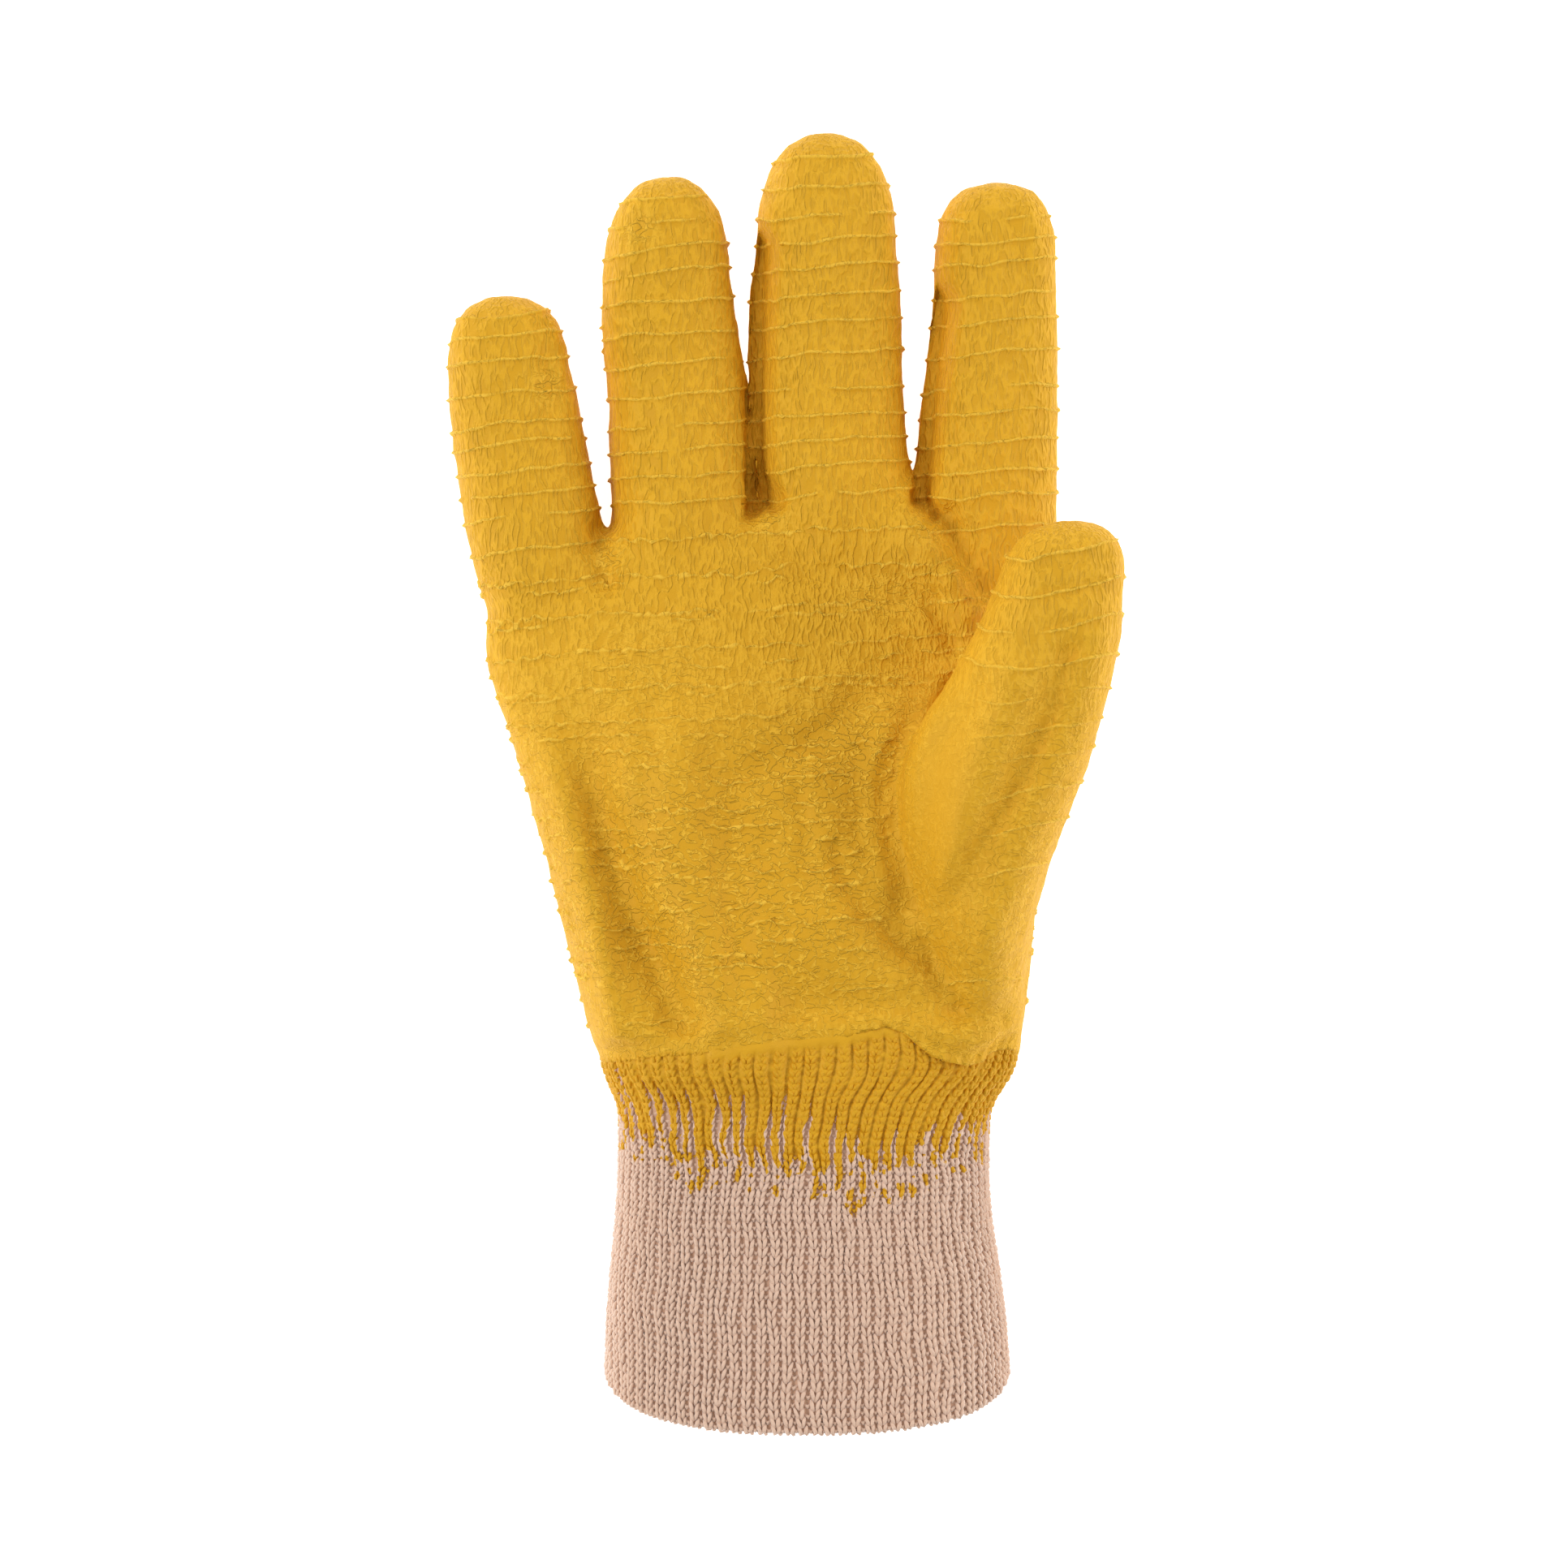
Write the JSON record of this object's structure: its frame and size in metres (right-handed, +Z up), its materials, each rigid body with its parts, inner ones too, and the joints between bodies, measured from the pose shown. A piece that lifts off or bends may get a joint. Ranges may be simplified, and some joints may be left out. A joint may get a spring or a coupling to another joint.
{
  "type": "coated knit work glove",
  "caption": "Hollow right-hand work glove with a crinkled latex coat and a rib-knit cuff, lying on its back, palm up.",
  "frame": {"origin": "on the surface that the glove lies on, in the middle of its footprint", "axes": "+Y from the cuff to the fingertips, +X to the thumb's side, +Z up out of the palm"},
  "size_m": [0.1374, 0.2645, 0.0599],
  "materials": {
    "crinkle_latex": "matt natural-rubber latex coat on a jersey liner, crinkled, yellow",
    "thin_latex": "thin latex that soaked into the tops of the ribs, yellow",
    "rib_knit": "undyed cotton rib knit, pinkish beige, slightly fuzzy"
  },
  "bodies": {
    "root": {"coated_hand": "crinkle_latex", "dripped_coat": "thin_latex", "rib_cuff": "rib_knit"}
  },
  "joints": []
}
